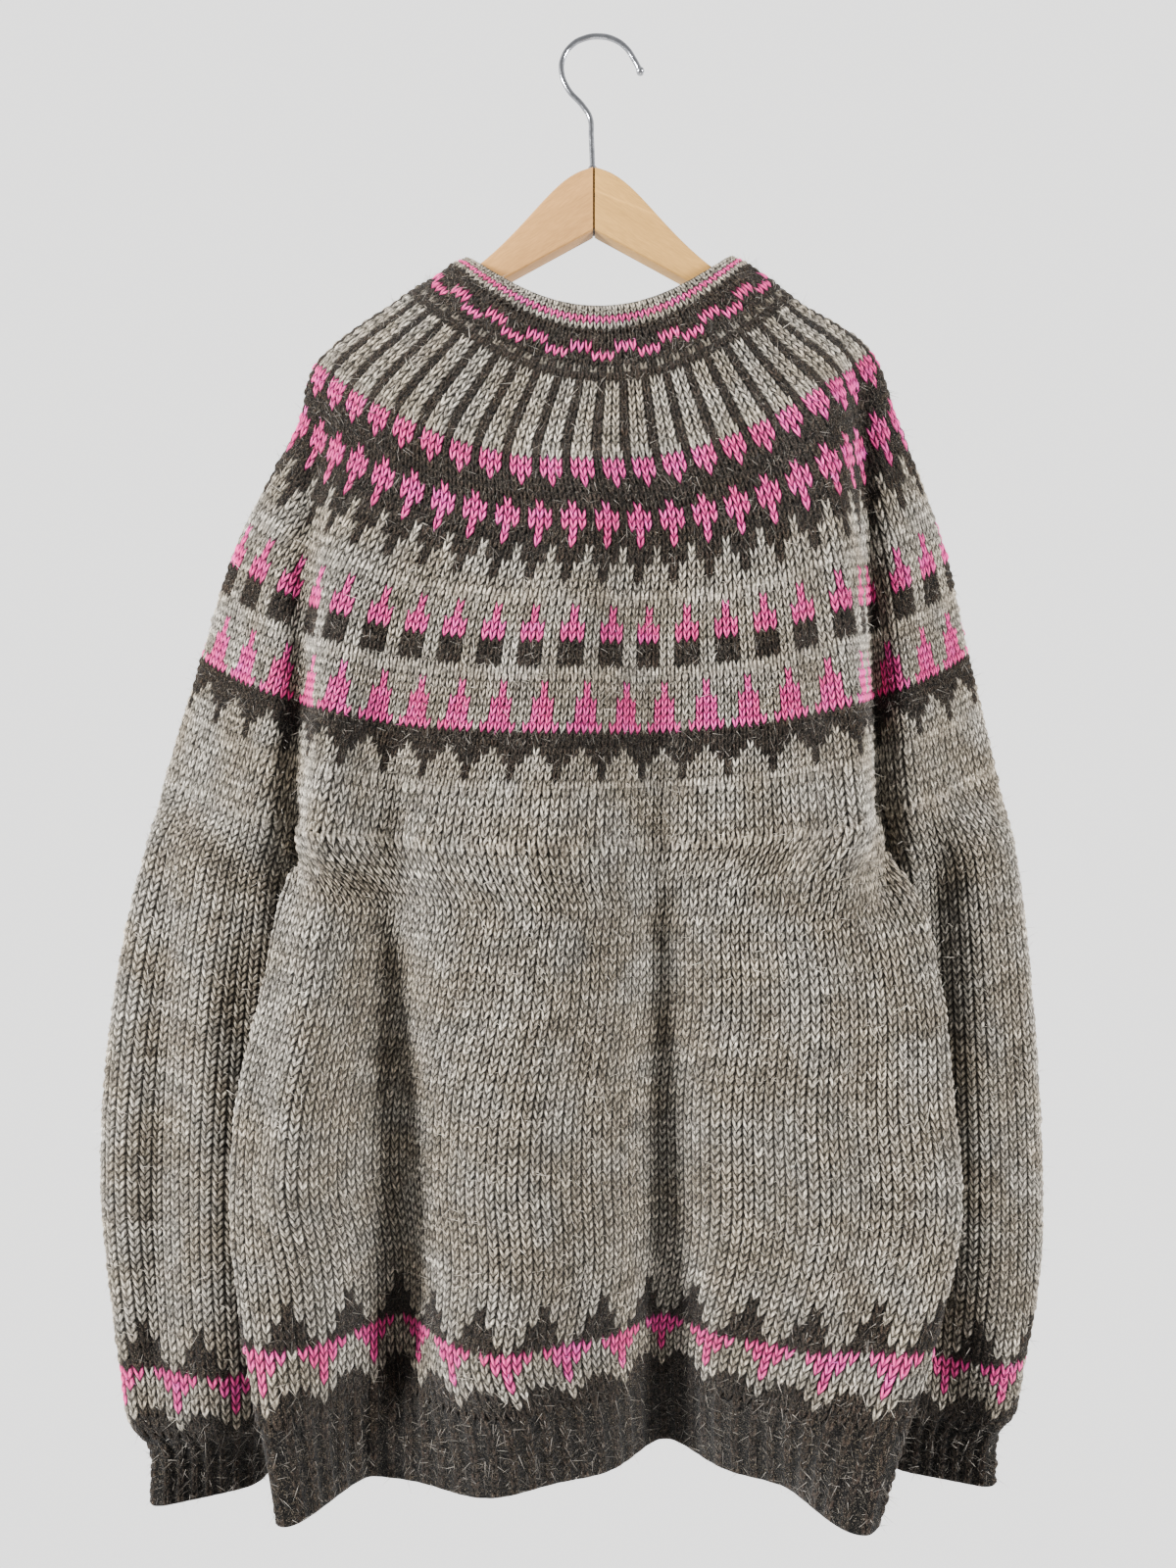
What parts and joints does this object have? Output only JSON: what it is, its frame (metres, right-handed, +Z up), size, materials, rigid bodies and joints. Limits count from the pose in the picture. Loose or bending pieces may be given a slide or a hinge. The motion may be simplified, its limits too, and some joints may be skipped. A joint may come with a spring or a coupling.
{
  "type": "knit cardigan on a clothes hanger",
  "caption": "Bulky round-yoke knit cardigan with ribbed hem and cuffs, buttoned at the front and hung on a wooden hanger with a wire hook.",
  "frame": {"origin": "inner top of the hanger's wire hook, where it bears on the peg or rail that it hangs from", "axes": "+Z up, -Y out of the cardigan's back, +Y out of its buttoned front, +X towards the wearer's right side"},
  "size_m": [0.5861, 0.1441, 0.9058],
  "materials": {
    "grey_wool": "heathered grey bulky wool, knitted in stocking stitch with dark and pink yarn worked into the yoke, hem and cuffs",
    "dark_wool": "heathered dark brown-grey bulky wool, knitted in single rib",
    "wood": "pale beech with a satin clear lacquer",
    "steel": "polished chrome plate on steel wire",
    "button_horn": "dark horn-like resin, satin"
  },
  "bodies": {
    "root": {"hanger_hook": "steel", "hanger_arm_left": "wood", "hanger_arm_right": "wood", "neckband": "grey_wool", "yoke_upper_back_left": "grey_wool", "yoke_upper_back_middle": "grey_wool", "yoke_upper_back_right": "grey_wool", "yoke_upper_front_left": "grey_wool", "yoke_upper_front_right": "grey_wool", "yoke_lower_back_left": "grey_wool", "yoke_lower_back_middle": "grey_wool", "yoke_lower_back_right": "grey_wool", "yoke_lower_front_left": "grey_wool", "yoke_lower_front_right": "grey_wool", "body_upper_back_left": "grey_wool", "body_upper_back_middle": "grey_wool", "body_upper_back_right": "grey_wool", "body_upper_front_left": "grey_wool", "body_upper_front_right": "grey_wool", "body_lower_back_left": "grey_wool", "body_lower_back_middle": "grey_wool", "body_lower_back_right": "grey_wool", "body_lower_front_left": "grey_wool", "body_lower_front_right": "grey_wool", "hem_rib_back": "dark_wool", "hem_rib_front_left": "dark_wool", "hem_rib_front_right": "dark_wool", "sleeve_left_upper_back": "grey_wool", "sleeve_left_upper_front": "grey_wool", "sleeve_left_lower_back": "grey_wool", "sleeve_left_lower_front": "grey_wool", "sleeve_right_upper_back": "grey_wool", "sleeve_right_upper_front": "grey_wool", "sleeve_right_lower_back": "grey_wool", "sleeve_right_lower_front": "grey_wool", "cuff_left": "dark_wool", "cuff_right": "dark_wool", "button_band_left": "dark_wool", "button_band_right": "dark_wool", "button_1": "button_horn", "button_2": "button_horn", "button_3": "button_horn", "button_4": "button_horn", "button_5": "button_horn", "button_6": "button_horn", "button_7": "button_horn"}
  },
  "joints": []
}
